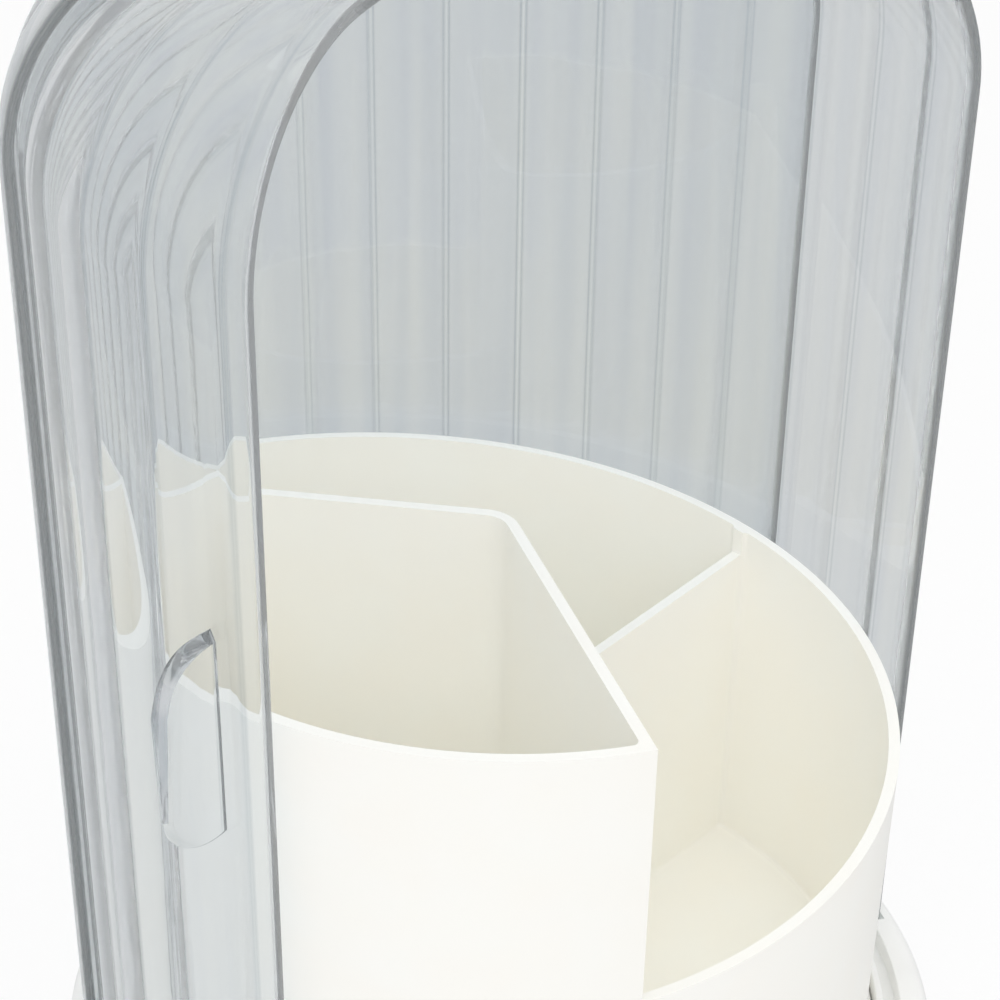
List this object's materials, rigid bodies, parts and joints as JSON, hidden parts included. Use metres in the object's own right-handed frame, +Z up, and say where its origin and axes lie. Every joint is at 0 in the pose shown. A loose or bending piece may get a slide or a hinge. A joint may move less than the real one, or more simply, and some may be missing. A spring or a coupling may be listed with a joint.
{
  "type": "makeup brush organizer",
  "caption": "Round makeup brush organizer: divided white cup on a turntable under a fluted clear cover with a swinging front door.",
  "frame": {"origin": "on the floor under the middle of the base, on the axis of the turntable and the door", "axes": "+Z up along the axis of the turntable, -Y towards the front opening, the fixed cover behind at +Y"},
  "size_m": [0.1692, 0.1692, 0.2463],
  "materials": {
    "clear_cover": "clear styrene with a faint cool grey tint, polished",
    "white_base": "white moulded plastic, satin gloss",
    "white_cup": "warm white moulded plastic, satin gloss",
    "natural_plastic": "natural low-friction plastic",
    "grey_rubber": "grey rubber",
    "plated_steel": "zinc-plated steel",
    "race_steel": "pressed galvanized steel"
  },
  "bodies": {
    "base": {"base_shell": "white_base", "bottom_plate": "white_base", "foot_front_left": "grey_rubber", "foot_front_right": "grey_rubber", "foot_rear_left": "grey_rubber", "foot_rear_right": "grey_rubber", "lower_race": "race_steel", "lower_race_screw_1": "plated_steel", "lower_race_screw_2": "plated_steel", "lower_race_screw_3": "plated_steel", "pivot_bolt": "plated_steel", "pivot_bush": "natural_plastic", "pivot_nut": "plated_steel", "pivot_washer_lower": "plated_steel", "pivot_washer_upper": "natural_plastic", "plate_screw_1": "plated_steel", "plate_screw_2": "plated_steel", "plate_screw_3": "plated_steel", "plate_screw_4": "plated_steel", "rear_cover": "clear_cover", "spindle_bush": "natural_plastic", "spindle_screw": "plated_steel", "spindle_washer": "plated_steel", "top_cap": "clear_cover"},
    "turntable": {"brush_cup": "white_cup", "turntable_disc": "white_base", "upper_race": "race_steel", "upper_race_screw_1": "plated_steel", "upper_race_screw_2": "plated_steel", "upper_race_screw_3": "plated_steel"},
    "ball_ring": {"ball_1": "plated_steel", "ball_10": "plated_steel", "ball_11": "plated_steel", "ball_12": "plated_steel", "ball_2": "plated_steel", "ball_3": "plated_steel", "ball_4": "plated_steel", "ball_5": "plated_steel", "ball_6": "plated_steel", "ball_7": "plated_steel", "ball_8": "plated_steel", "ball_9": "plated_steel", "ball_cage": "natural_plastic"},
    "door": {"door_cover": "clear_cover"}
  },
  "joints": [
    {"name": "turntable_spin", "type": "hinge", "parent": "base", "child": "turntable", "pos_m": [0, 0, 0.018], "axis": [0, 0, 1], "continuous": true},
    {"name": "ball_ring_spin", "type": "hinge", "parent": "base", "child": "ball_ring", "pos_m": [0, 0, 0.0131], "axis": [0, 0, 1], "continuous": true},
    {"name": "door_swing", "type": "hinge", "parent": "base", "child": "door", "pos_m": [0, 0, 0.2345], "axis": [0, 0, 1], "range_deg": [-31, 137.4]}
  ],
  "couplings": [
    {"joint": "ball_ring_spin", "follows": "turntable_spin", "ratio": 0.5}
  ]
}
